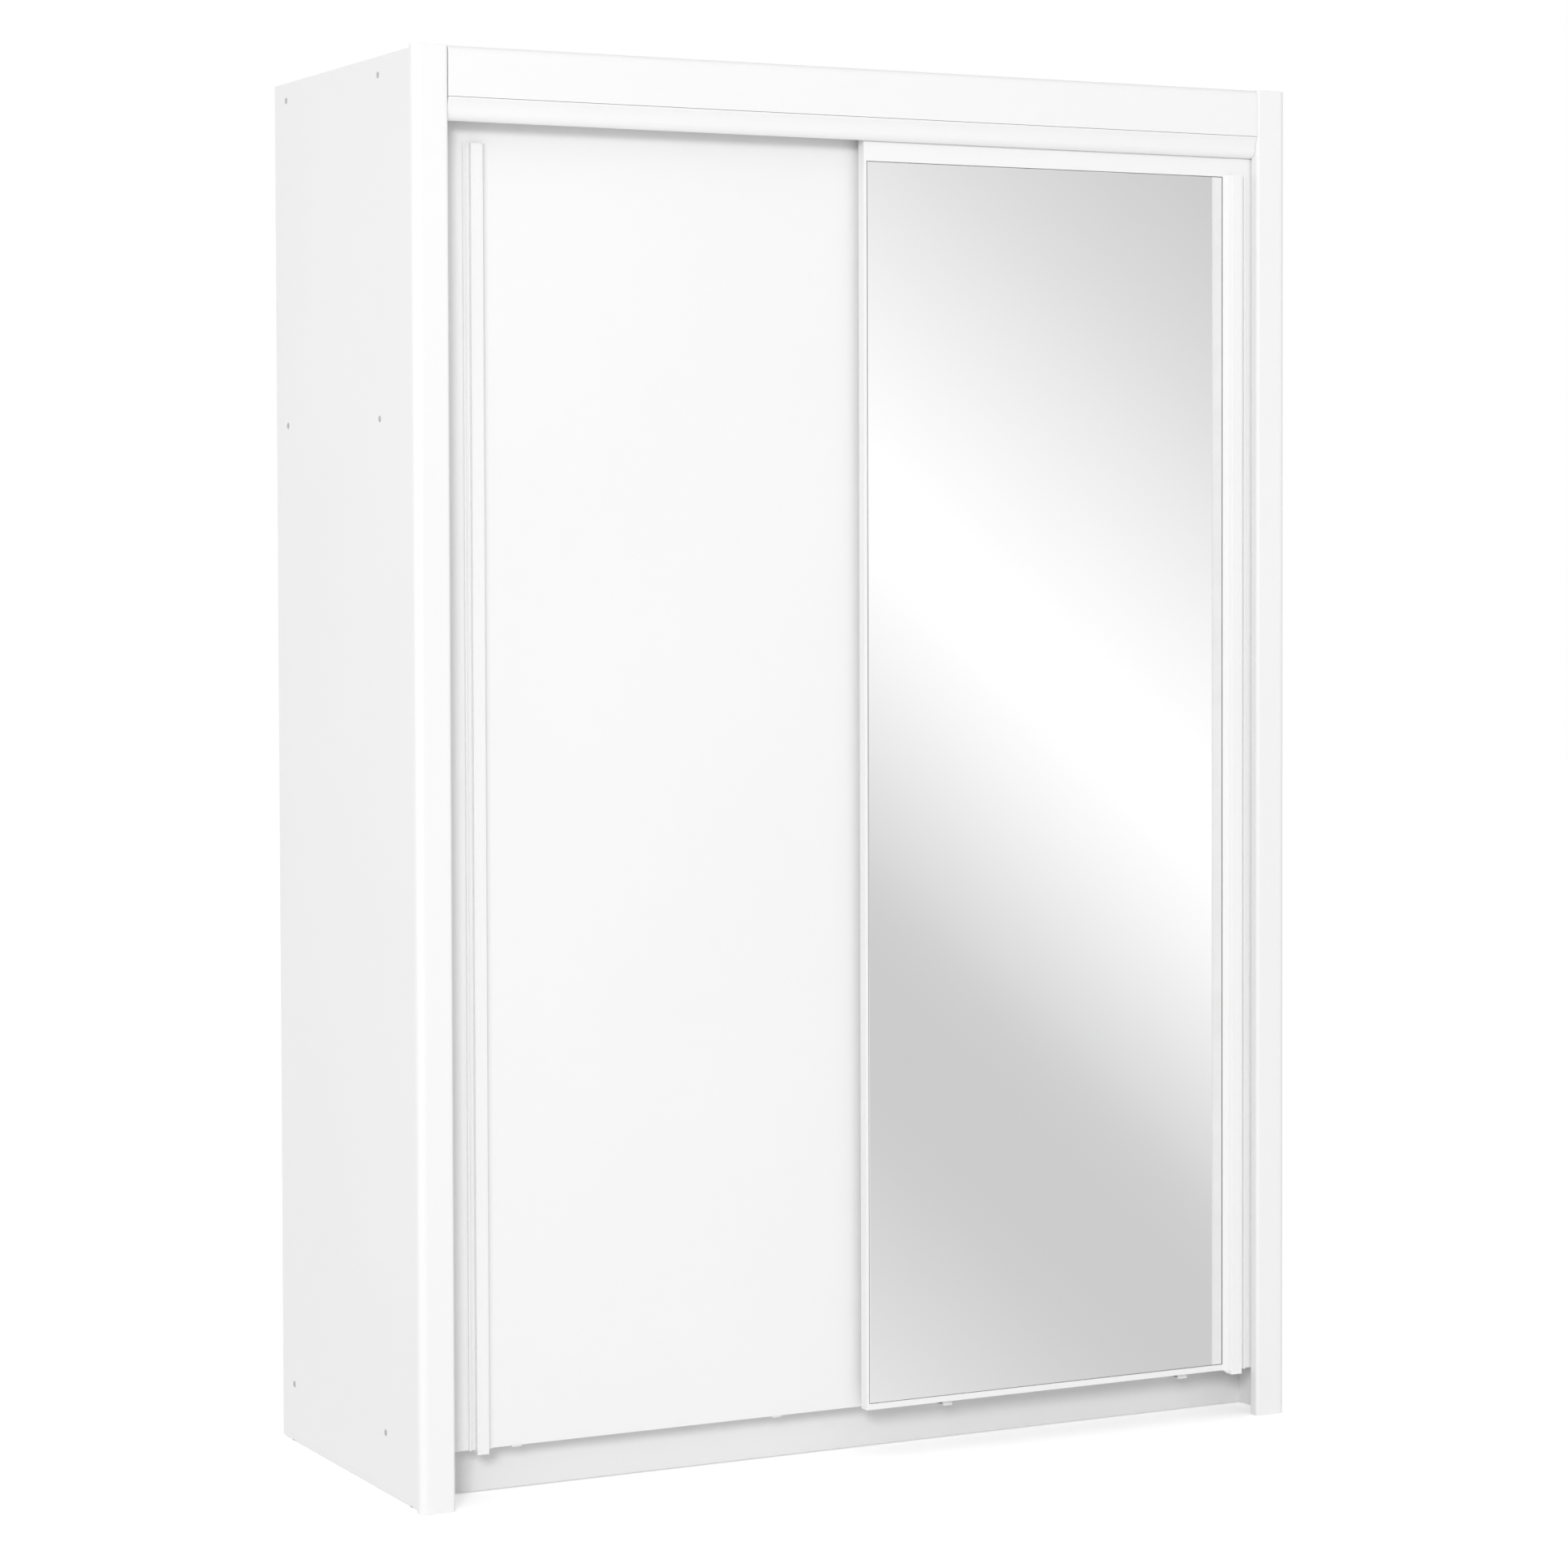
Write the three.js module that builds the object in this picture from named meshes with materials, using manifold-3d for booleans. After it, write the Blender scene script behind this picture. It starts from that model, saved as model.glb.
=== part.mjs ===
// Two-door sliding wardrobe, in millimetres. +Z is up, the doors face -Y, +X is to the right of a
// person who stands in front of it. The origin is on the floor, under the middle of the wardrobe.
import * as THREE from "three";
import { mergeVertices } from "three/addons/utils/BufferGeometryUtils.js";
import Module from "manifold-3d";

const wasm = await Module();
wasm.setup();

// ---- driving dimensions -------------------------------------------------------------------------
const WIDTH = 1500;
const DEPTH = 600;
const HEIGHT = 2131;
const BOARD = 16; // carcass boards
const FRONT_BOARD = 18; // doors, pilasters and header
const FRONT = -DEPTH / 2; // plane of the pilasters' front faces
const REAR = DEPTH / 2;

// carcass
const SIDE_INSET = 6; // the pilasters stand this far out past the side panels
const SIDE_TOP = 2128;
const GLIDE_HEIGHT = 2;
const TOP_PANEL_Z = 2093; // underside
const BOTTOM_PANEL_Z = 83; // underside
const FIXED_SHELF_Z = 1587.5; // underside
const ADJUSTABLE_SHELVES = 3;
const BACK_FACE = REAR - 6; // rear edges of the boards that the back panels close
const BACK_THICK = 3;
const REBATE_WIDTH = 8;
const BOTTOM_PANEL_FRONT = FRONT + 75;
const SHELF_FRONT = FRONT + 95;
const PLINTH_FRONT = FRONT + 100;
const PLINTH_REAR_Y = 264;

// pilasters and header
const PILASTER_WIDTH = 54;
const PILASTER_OUTER_ROUND = 12;
const PILASTER_INNER_ROUND = 5;
const HEADER_SETBACK = 0.5;
const HEADER_JOINT_Z = 2057.5;
const HEADER_BOTTOM_Z = 2023.5;
const HEADER_TOP_ROUND = 10;

// doors: the mirror door runs in the front lane, the plain door in the rear lane
const DOOR_WIDTH = 732;
const DOOR_BOTTOM = 75.5;
const DOOR_TOP = 2034; // hidden behind the header
const SIDE_CLEARANCE = 2;
const LANE_PITCH = 31;
const FRONT_LANE = FRONT + 21; // front face of the mirror door
const REAR_LANE = FRONT_LANE + LANE_PITCH;

// mirror
const MIRROR_THICK = 4;
const MIRROR_LEFT_MARGIN = 6;
const MIRROR_BOTTOM_MARGIN = 10.5;
const MIRROR_TOP_MARGIN = 42;
const MIRROR_WIDTH = 642;
const MIRROR_GAP = 1;

// handles
const HANDLE_TOP = 1995.5;
const HANDLE_TAIL = 69.5; // the grip bar hangs a little below the door
const MIRROR_HANDLE_INSET = 41.5; // door edge to the lip of the handle
const PLAIN_HANDLE_INSET = 71.5;

// running gear
const WHEEL_RADIUS = 14;
const TREAD_RADIUS = 11.5;
const WHEEL_WIDTH = 8;
const RUN_CLEARANCE = 0.2;
const STUD_RADIUS = 3;
const BORE_RADIUS = 3.15;
const RAIL_TOP = 2045; // top of the bead that the wheels run on
const HANGER_INSET = 90;
const HANGER_LENGTH = 40;
const GUIDE_INSET = 150;
const GUIDE_LENGTH = 16;
const PLAIN_DOOR_TRAVEL = 600;
const MIRROR_DOOR_TRAVEL = 700;

// ---- places worked out from them ----------------------------------------------------------------
const SIDE_OUT = WIDTH / 2 - SIDE_INSET;
const SIDE_IN = SIDE_OUT - BOARD;
const SIDE_FRONT = FRONT + FRONT_BOARD;
const PILASTER_IN = WIDTH / 2 - PILASTER_WIDTH;
const CARCASS_FLOOR = BOTTOM_PANEL_Z + BOARD;
const PARTITION_HALF = BOARD / 2;
const DOOR_REACH = SIDE_IN - SIDE_CLEARANCE; // outer edge of a closed door
const WHEEL_Z = RAIL_TOP + TREAD_RADIUS + RUN_CLEARANCE;

// ---- finishes -----------------------------------------------------------------------------------
function finish(color, roughness, metalness = 0) {
  return new THREE.MeshStandardMaterial({ color, roughness, metalness });
}
const FINISH = {
  melamine: finish(0xf1f1f1, 0.55),
  lacquer: finish(0xfafafa, 0.35),
  hardboard: finish(0xe9e7e3, 0.8),
  mirror: finish(0xd6d8d8, 0.03, 1),
  profile: finish(0xf7f7f7, 0.4),
  aluminium: finish(0xc3c5c7, 0.35, 1),
  steel: finish(0xa9adb1, 0.4, 1),
  chrome: finish(0xd9dbdd, 0.12, 1),
  nylon: finish(0xdedbd2, 0.5),
  rubber: finish(0x303134, 0.85),
  cap: finish(0xcfd0d1, 0.5),
  glide: finish(0x8f9092, 0.6),
  guide: finish(0xeeeeec, 0.5),
};

const wardrobe = new THREE.Group();

// ---- helpers ------------------------------------------------------------------------------------
function add(name, geometry, material, position = [0, 0, 0]) {
  const mesh = new THREE.Mesh(geometry, material);
  mesh.name = name;
  mesh.position.set(...position);
  wardrobe.add(mesh);
  return mesh;
}

// A flat board between two limits on each axis.
function board(name, [x0, x1], [y0, y1], [z0, z1], material) {
  const geometry = new THREE.BoxGeometry(x1 - x0, y1 - y0, z1 - z0);
  return add(name, geometry, material, [(x0 + x1) / 2, (y0 + y1) / 2, (z0 + z1) / 2]);
}

// A profile whose outline lies in the XY plane and which stands upright from z0 to z1.
function upright(shape, z0, z1, curveSegments = 8) {
  const geometry = new THREE.ExtrudeGeometry(shape, { depth: z1 - z0, bevelEnabled: false, curveSegments });
  return geometry.translate(0, 0, z0);
}

// A profile whose outline gives Y and Z and which runs across the wardrobe from x0 to x1.
const ACROSS = new THREE.Matrix4().makeBasis(
  new THREE.Vector3(0, 1, 0),
  new THREE.Vector3(0, 0, 1),
  new THREE.Vector3(1, 0, 0),
);
function across(shape, x0, x1, curveSegments = 8) {
  return upright(shape, 0, x1 - x0, curveSegments).applyMatrix4(ACROSS).translate(x0, 0, 0);
}

function polygon(points) {
  return new THREE.Shape(points.map(([x, y]) => new THREE.Vector2(x, y)));
}

function solid(geometry) {
  const bare = geometry.clone();
  bare.deleteAttribute("normal");
  bare.deleteAttribute("uv");
  const merged = mergeVertices(bare, 1e-4);
  const vertProperties = merged.attributes.position.array;
  const triVerts = new Uint32Array(merged.index.array);
  return new wasm.Manifold(new wasm.Mesh({ numProp: 3, vertProperties, triVerts }));
}

function geometryOf(manifold) {
  const { vertProperties, triVerts } = manifold.getMesh();
  const geometry = new THREE.BufferGeometry();
  geometry.setAttribute("position", new THREE.BufferAttribute(vertProperties, 3));
  geometry.setIndex(new THREE.BufferAttribute(triVerts, 1));
  geometry.computeVertexNormals();
  return geometry;
}

const SIDES = [
  ["left", -1],
  ["right", 1],
];

// ---- carcass ------------------------------------------------------------------------------------
// A side panel has a rebate along its inner rear edge that the back panel is let into.
function sidePanel(label, sign) {
  const shape = polygon([
    [sign * SIDE_OUT, SIDE_FRONT],
    [sign * SIDE_IN, SIDE_FRONT],
    [sign * SIDE_IN, BACK_FACE],
    [sign * (SIDE_IN + REBATE_WIDTH), BACK_FACE],
    [sign * (SIDE_IN + REBATE_WIDTH), REAR],
    [sign * SIDE_OUT, REAR],
  ]);
  add(`side_panel_${label}`, upright(shape, GLIDE_HEIGHT, SIDE_TOP), FINISH.melamine);
}
SIDES.forEach(([label, sign]) => sidePanel(label, sign));

const INSIDE = [-SIDE_IN, SIDE_IN];
const PARTITION_REAR = BACK_FACE - 1.5;
board("top_panel", INSIDE, [SIDE_FRONT + 1, BACK_FACE], [TOP_PANEL_Z, TOP_PANEL_Z + BOARD], FINISH.melamine);
board(
  "bottom_panel",
  INSIDE,
  [BOTTOM_PANEL_FRONT, BACK_FACE],
  [BOTTOM_PANEL_Z, CARCASS_FLOOR],
  FINISH.melamine,
);
board(
  "centre_partition",
  [-PARTITION_HALF, PARTITION_HALF],
  [BOTTOM_PANEL_FRONT + 3, PARTITION_REAR],
  [CARCASS_FLOOR, TOP_PANEL_Z],
  FINISH.melamine,
);

const PLINTH_SPAN = [GLIDE_HEIGHT, BOTTOM_PANEL_Z];
board("plinth_front", INSIDE, [PLINTH_FRONT, PLINTH_FRONT + BOARD], PLINTH_SPAN, FINISH.melamine);
board("plinth_rear", INSIDE, [PLINTH_REAR_Y, PLINTH_REAR_Y + BOARD], PLINTH_SPAN, FINISH.melamine);
board(
  "plinth_cross_rail",
  [-PARTITION_HALF, PARTITION_HALF],
  [PLINTH_FRONT + BOARD, PLINTH_REAR_Y],
  PLINTH_SPAN,
  FINISH.melamine,
);

// The back is two hardboard sheets that meet in an H-shaped strip behind the partition.
const BACK_Y = BACK_FACE + 0.5;
const BACK_WEB_HALF = 1;
const BACK_FLANGE_HALF = 14;
const BACK_FLANGE = 1.25;
const BACK_EASE = 0.25;
function backPanel(label, sign) {
  const inner = sign * (BACK_WEB_HALF + BACK_EASE);
  const outer = sign * (SIDE_IN + REBATE_WIDTH - 0.5);
  const span = [Math.min(inner, outer), Math.max(inner, outer)];
  const z = [BOTTOM_PANEL_Z - 20, TOP_PANEL_Z + BOARD];
  board(`back_panel_${label}`, span, [BACK_Y, BACK_Y + BACK_THICK], z, FINISH.hardboard);
}
SIDES.forEach(([label, sign]) => backPanel(label, sign));

function backJointStrip() {
  const front = BACK_Y - BACK_EASE - BACK_FLANGE;
  const slotFront = BACK_Y - BACK_EASE;
  const slotRear = BACK_Y + BACK_THICK + BACK_EASE;
  const rear = slotRear + BACK_FLANGE;
  const shape = polygon([
    [-BACK_FLANGE_HALF, front],
    [BACK_FLANGE_HALF, front],
    [BACK_FLANGE_HALF, slotFront],
    [BACK_WEB_HALF, slotFront],
    [BACK_WEB_HALF, slotRear],
    [BACK_FLANGE_HALF, slotRear],
    [BACK_FLANGE_HALF, rear],
    [-BACK_FLANGE_HALF, rear],
    [-BACK_FLANGE_HALF, slotRear],
    [-BACK_WEB_HALF, slotRear],
    [-BACK_WEB_HALF, slotFront],
    [-BACK_FLANGE_HALF, slotFront],
  ]);
  add("back_joint_strip", upright(shape, CARCASS_FLOOR + 0.5, TOP_PANEL_Z - 0.5), FINISH.profile);
}
backJointStrip();

// ---- shelves and hanging rail -------------------------------------------------------------------
const SHELF_DEPTH = [SHELF_FRONT, PARTITION_REAR - 2];
const FIXED_SHELF = [FIXED_SHELF_Z, FIXED_SHELF_Z + BOARD];
board("hat_shelf_left", [-SIDE_IN, -PARTITION_HALF], SHELF_DEPTH, FIXED_SHELF, FINISH.melamine);
board("hat_shelf_right", [PARTITION_HALF, SIDE_IN], SHELF_DEPTH, FIXED_SHELF, FINISH.melamine);

const SHELF_EASE = 0.5;
const SHELF_STEP = (FIXED_SHELF_Z - CARCASS_FLOOR) / (ADJUSTABLE_SHELVES + 1);
for (let i = 1; i <= ADJUSTABLE_SHELVES; i += 1) {
  const top = CARCASS_FLOOR + Math.round(SHELF_STEP * i) + PARTITION_HALF;
  const span = [PARTITION_HALF + SHELF_EASE, SIDE_IN - SHELF_EASE];
  board(`adjustable_shelf_${i}`, span, SHELF_DEPTH, [top - BOARD, top], FINISH.melamine);
}

// The rail is an oval tube. Its ends lie in two cups that are open at the top.
const RAIL_Y = 40;
const RAIL_Z = 1540;
const RAIL_HALF_WIDTH = 7.5;
const RAIL_STRAIGHT = 7.5; // from the centre up or down to the round ends
const RAIL_WALL = 1.2;
const CUP_LENGTH = 12;
const CUP_WALL = 3;
const CUP_EASE = 0.5;

function ovalPath(target, halfWidth, straight) {
  target.moveTo(RAIL_Y + halfWidth, RAIL_Z - straight);
  target.absarc(RAIL_Y, RAIL_Z + straight, halfWidth, 0, Math.PI, false);
  target.absarc(RAIL_Y, RAIL_Z - straight, halfWidth, Math.PI, 2 * Math.PI, false);
  return target;
}
function hangingRail() {
  const shape = ovalPath(new THREE.Shape(), RAIL_HALF_WIDTH, RAIL_STRAIGHT);
  shape.holes.push(ovalPath(new THREE.Path(), RAIL_HALF_WIDTH - RAIL_WALL, RAIL_STRAIGHT));
  const ends = [-SIDE_IN + 2, -PARTITION_HALF - 2];
  add("hanging_rail", across(shape, ...ends, 6), FINISH.chrome);
}
function railCup(label, x) {
  const inner = RAIL_HALF_WIDTH + CUP_EASE;
  const outer = inner + CUP_WALL;
  const rim = RAIL_Z + RAIL_STRAIGHT;
  const shape = new THREE.Shape();
  shape.moveTo(RAIL_Y - outer, rim);
  shape.absarc(RAIL_Y, RAIL_Z - RAIL_STRAIGHT, outer, Math.PI, 2 * Math.PI, false);
  shape.lineTo(RAIL_Y + outer, rim);
  shape.lineTo(RAIL_Y + inner, rim);
  shape.absarc(RAIL_Y, RAIL_Z - RAIL_STRAIGHT, inner, 0, -Math.PI, true);
  shape.lineTo(RAIL_Y - inner, rim);
  add(`rail_cup_${label}`, across(shape, x, x + CUP_LENGTH, 8), FINISH.chrome);
}
hangingRail();
railCup("left", -SIDE_IN);
railCup("right", -PARTITION_HALF - CUP_LENGTH);

// ---- pilasters and header -----------------------------------------------------------------------
// A pilaster is a board with both front edges rounded. It stands on the floor in front of a side.
function pilaster(label, sign) {
  const back = FRONT + FRONT_BOARD;
  const outer = WIDTH / 2;
  const shape = new THREE.Shape();
  shape.moveTo(PILASTER_IN, back);
  shape.lineTo(PILASTER_IN, FRONT + PILASTER_INNER_ROUND);
  shape.absarc(
    PILASTER_IN + PILASTER_INNER_ROUND,
    FRONT + PILASTER_INNER_ROUND,
    PILASTER_INNER_ROUND,
    Math.PI,
    1.5 * Math.PI,
    false,
  );
  shape.absarc(
    outer - PILASTER_OUTER_ROUND,
    FRONT + PILASTER_OUTER_ROUND,
    PILASTER_OUTER_ROUND,
    1.5 * Math.PI,
    2 * Math.PI,
    false,
  );
  shape.lineTo(outer, back);
  const mesh = add(`pilaster_${label}`, upright(shape, 0, HEIGHT, 6), FINISH.lacquer);
  mesh.scale.x = sign;
}
SIDES.forEach(([label, sign]) => pilaster(label, sign));

const HEADER_ENDS = [-PILASTER_IN + 0.5, PILASTER_IN - 0.5];
const HEADER_FACE = FRONT + HEADER_SETBACK;
const HEADER_BACK = FRONT + FRONT_BOARD;

function headerFascia() {
  const shape = new THREE.Shape();
  shape.moveTo(HEADER_BACK, HEADER_JOINT_Z);
  shape.lineTo(HEADER_BACK, HEIGHT);
  shape.absarc(
    HEADER_FACE + HEADER_TOP_ROUND,
    HEIGHT - HEADER_TOP_ROUND,
    HEADER_TOP_ROUND,
    0.5 * Math.PI,
    Math.PI,
    false,
  );
  shape.lineTo(HEADER_FACE, HEADER_JOINT_Z + 1);
  shape.lineTo(HEADER_FACE + 1, HEADER_JOINT_Z);
  add("header_fascia", across(shape, ...HEADER_ENDS, 8), FINISH.lacquer);
}

// Below the joint the header falls back in a hollow, a crisp edge and a rounded lower lip.
const COVE_HOLLOW = 7;
const COVE_EDGE_Z = 2036;
const COVE_LIP_DEPTH = 15.5;
function headerCove() {
  const top = HEADER_JOINT_Z - 0.5;
  const shape = new THREE.Shape();
  shape.moveTo(HEADER_BACK, HEADER_BOTTOM_Z);
  shape.lineTo(HEADER_BACK, top);
  shape.lineTo(HEADER_FACE + 1, top);
  shape.lineTo(HEADER_FACE, top - 1);
  shape.lineTo(HEADER_FACE, top - 2);
  shape.quadraticCurveTo(HEADER_FACE + 5, top - 10, HEADER_FACE + COVE_HOLLOW, COVE_EDGE_Z);
  shape.quadraticCurveTo(
    HEADER_FACE + COVE_HOLLOW + 1.5,
    HEADER_BOTTOM_Z + 4,
    HEADER_FACE + COVE_LIP_DEPTH,
    HEADER_BOTTOM_Z,
  );
  add("header_cove", across(shape, ...HEADER_ENDS, 6), FINISH.lacquer);
}
headerFascia();
headerCove();

// ---- tracks -------------------------------------------------------------------------------------
// Each lane of the upper track is a J: a leg, a ledge and a bead for the grooved wheels.
const TRACK_ENDS = [-SIDE_IN + 2, SIDE_IN - 2];
const TRACK_SHEET = 2;
const LEDGE_TOP = RAIL_TOP - 3;
function trackLane(laneFace) {
  const leg = laneFace - 1;
  const bead = laneFace + FRONT_BOARD / 2;
  return [
    [leg + TRACK_SHEET, TOP_PANEL_Z - TRACK_SHEET],
    [leg + TRACK_SHEET, LEDGE_TOP],
    [bead - 1.25, LEDGE_TOP],
    [bead - 1.25, RAIL_TOP - 0.75],
    [bead - 0.5, RAIL_TOP],
    [bead + 0.5, RAIL_TOP],
    [bead + 1.25, RAIL_TOP - 0.75],
    [bead + 1.25, LEDGE_TOP],
    [bead + 3.5, LEDGE_TOP],
    [bead + 3.5, LEDGE_TOP - TRACK_SHEET],
    [leg, LEDGE_TOP - TRACK_SHEET],
    [leg, TOP_PANEL_Z - TRACK_SHEET],
  ];
}
function upperTrack() {
  const rearLane = trackLane(REAR_LANE);
  const frontLane = trackLane(FRONT_LANE).slice(0, -1);
  const rearEdge = REAR_LANE + 14;
  const shape = polygon([
    [FRONT_LANE - 1, TOP_PANEL_Z],
    [rearEdge, TOP_PANEL_Z],
    [rearEdge, TOP_PANEL_Z - TRACK_SHEET],
    ...rearLane,
    ...frontLane,
  ]);
  add("upper_track", across(shape, ...TRACK_ENDS), FINISH.aluminium);
}
upperTrack();

// A rubber buffer in each lane stops the leading hanger where the door is fully open.
function buffer(name, laneFace, x) {
  const lane = [laneFace + 1.5, laneFace + FRONT_BOARD / 2 + 3];
  board(name, [x - 6, x + 6], lane, [RAIL_TOP + 1, RAIL_TOP + 22], FINISH.rubber);
}
const BUFFER_OFFSET = HANGER_LENGTH / 2 + 8;
const PLAIN_LEADING_HANGER = -DOOR_REACH + DOOR_WIDTH - HANGER_INSET;
const MIRROR_LEADING_HANGER = DOOR_REACH - DOOR_WIDTH + HANGER_INSET;
buffer("track_buffer_plain", REAR_LANE, PLAIN_LEADING_HANGER + PLAIN_DOOR_TRAVEL + BUFFER_OFFSET);
buffer("track_buffer_mirror", FRONT_LANE, MIRROR_LEADING_HANGER - MIRROR_DOOR_TRAVEL - BUFFER_OFFSET);

// The lower rail hangs under the bottom panel and has one channel, open downwards, for each door.
const GUIDE_RAIL_FRONT = BOTTOM_PANEL_FRONT + 1;
const GUIDE_SHEET = 1.5;
const GUIDE_CHANNEL = 6.5;
const GUIDE_RAIL_LIP = 77; // underside of the fins
function guideChannelStart(index) {
  return GUIDE_RAIL_FRONT + GUIDE_SHEET + index * (GUIDE_CHANNEL + GUIDE_SHEET);
}
function lowerGuideRail() {
  const web = BOTTOM_PANEL_Z - GUIDE_SHEET;
  const points = [[GUIDE_RAIL_FRONT, BOTTOM_PANEL_Z], [GUIDE_RAIL_FRONT, GUIDE_RAIL_LIP]];
  for (const index of [0, 1]) {
    const start = guideChannelStart(index);
    points.push([start, GUIDE_RAIL_LIP], [start, web]);
    points.push([start + GUIDE_CHANNEL, web], [start + GUIDE_CHANNEL, GUIDE_RAIL_LIP]);
  }
  const rear = guideChannelStart(1) + GUIDE_CHANNEL + GUIDE_SHEET;
  points.push([rear, GUIDE_RAIL_LIP], [rear, BOTTOM_PANEL_Z]);
  add("lower_guide_rail", across(polygon(points), ...TRACK_ENDS), FINISH.aluminium);
}
lowerGuideRail();

// ---- doors --------------------------------------------------------------------------------------
// The handle's section: u runs from the lip towards the middle of the door, p is how far it stands
// out. A thin lip and a finger groove lie on the outer side of the bar, and a hollow curve on the inner.
const HANDLE = { lip: 3, lipHeight: 5, floor: 1.5, barStart: 10, barEnd: 29.5, bar: 10, end: 41 };
function handleSection(placeU, doorFace) {
  const at = (u, p) => [placeU(u), doorFace - p];
  const shape = new THREE.Shape();
  shape.moveTo(...at(0, 0));
  shape.lineTo(...at(0, HANDLE.lipHeight));
  shape.lineTo(...at(HANDLE.lip, HANDLE.lipHeight));
  shape.lineTo(...at(HANDLE.lip, HANDLE.floor));
  shape.lineTo(...at(HANDLE.barStart, HANDLE.floor));
  shape.lineTo(...at(HANDLE.barStart, HANDLE.bar - 0.75));
  shape.lineTo(...at(HANDLE.barStart + 0.75, HANDLE.bar));
  shape.lineTo(...at(HANDLE.barEnd - 1.5, HANDLE.bar));
  shape.quadraticCurveTo(...at(HANDLE.barEnd, HANDLE.bar), ...at(HANDLE.barEnd + 1, HANDLE.bar - 3));
  shape.quadraticCurveTo(...at(HANDLE.barEnd + 3, 1.5), ...at(HANDLE.end, 1));
  shape.lineTo(...at(HANDLE.end, 0));
  return shape;
}
function handle(name, placeU, doorFace) {
  const fullLength = upright(handleSection(placeU, doorFace), DOOR_BOTTOM, HANDLE_TOP, 5);
  const tailWidth = [placeU(HANDLE.barStart), placeU(HANDLE.barEnd)].sort((a, b) => a - b);
  const barFace = doorFace - HANDLE.bar;
  const tail = polygon([
    [tailWidth[0], barFace],
    [tailWidth[1], barFace],
    [tailWidth[1], doorFace],
    [tailWidth[0], doorFace],
  ]);
  const bar = solid(upright(tail, HANDLE_TAIL, DOOR_BOTTOM + 1));
  add(name, geometryOf(solid(fullLength).add(bar)), FINISH.profile);
}

// The mirror door's panel has a shallow bed for the glass, open to the front.
function mirrorDoorPanel(x0, mirrorSpan, mirrorRise) {
  const grow = ([low, high]) => [low - MIRROR_GAP, high + MIRROR_GAP];
  const box = ([a0, a1], [b0, b1], [c0, c1]) =>
    solid(
      new THREE.BoxGeometry(a1 - a0, b1 - b0, c1 - c0).translate((a0 + a1) / 2, (b0 + b1) / 2, (c0 + c1) / 2),
    );
  const panel = box([x0, x0 + DOOR_WIDTH], [FRONT_LANE, FRONT_LANE + FRONT_BOARD], [DOOR_BOTTOM, DOOR_TOP]);
  const bed = box(grow(mirrorSpan), [FRONT_LANE - 1, FRONT_LANE + MIRROR_THICK + 0.25], grow(mirrorRise));
  add("mirror_door_panel", geometryOf(panel.subtract(bed)), FINISH.lacquer);
}

// A grooved wheel, turned about Y.
function wheelGeometry() {
  const half = WHEEL_WIDTH / 2;
  const outline = [
    [BORE_RADIUS, -half],
    [WHEEL_RADIUS, -half],
    [WHEEL_RADIUS, -2.75],
    [TREAD_RADIUS, -1.5],
    [TREAD_RADIUS, 1.5],
    [WHEEL_RADIUS, 2.75],
    [WHEEL_RADIUS, half],
    [BORE_RADIUS, half],
    [BORE_RADIUS, -half],
  ];
  return new THREE.LatheGeometry(outline.map(([r, y]) => new THREE.Vector2(r, y)), 32);
}

// A hanger is an angle bracket on the door's top edge with the wheel's stud riveted to its leg.
const HANGER_SHEET = 2.5;
function hangerGeometry(laneFace, x) {
  const rear = laneFace + 17;
  const leg = rear - HANGER_SHEET;
  const bracket = polygon([
    [laneFace + 2, DOOR_TOP],
    [rear, DOOR_TOP],
    [rear, WHEEL_Z + 9],
    [leg, WHEEL_Z + 9],
    [leg, DOOR_TOP + HANGER_SHEET],
    [laneFace + 2, DOOR_TOP + HANGER_SHEET],
  ]);
  const studStart = laneFace + FRONT_BOARD / 2 - WHEEL_WIDTH / 2 - 1.5;
  const stud = new THREE.CylinderGeometry(STUD_RADIUS, STUD_RADIUS, leg + 0.5 - studStart, 24);
  stud.translate(x, (studStart + leg + 0.5) / 2, WHEEL_Z);
  const angle = across(bracket, x - HANGER_LENGTH / 2, x + HANGER_LENGTH / 2);
  return geometryOf(solid(angle).add(solid(stud)));
}

// A guide is a bent strip under the door's edge whose upturned end runs in the lower rail.
const GUIDE_TOP = BOTTOM_PANEL_Z - GUIDE_SHEET - 1;
const GUIDE_BLADE = 2.5;
const GUIDE_STRIP = 2;
function guideGeometry(padStart, padEnd, stripZ, channel, x) {
  const bladeStart = guideChannelStart(channel) + (GUIDE_CHANNEL - GUIDE_BLADE) / 2;
  const bladeEnd = bladeStart + GUIDE_BLADE;
  const shape = polygon([
    [padStart, stripZ],
    [bladeEnd, stripZ],
    [bladeEnd, GUIDE_TOP],
    [bladeStart, GUIDE_TOP],
    [bladeStart, stripZ + GUIDE_STRIP],
    [padEnd, stripZ + GUIDE_STRIP],
    [padEnd, DOOR_BOTTOM],
    [padStart, DOOR_BOTTOM],
  ]);
  return across(shape, x - GUIDE_LENGTH / 2, x + GUIDE_LENGTH / 2);
}
// The mirror door's strip passes below the plain door and below that door's handle.
const GUIDES = {
  plain: { lane: REAR_LANE, pad: [2, 16], stripZ: 73, channel: 0 },
  mirror: { lane: FRONT_LANE, pad: [13, 18], stripZ: 66.5, channel: 1 },
};

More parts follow.
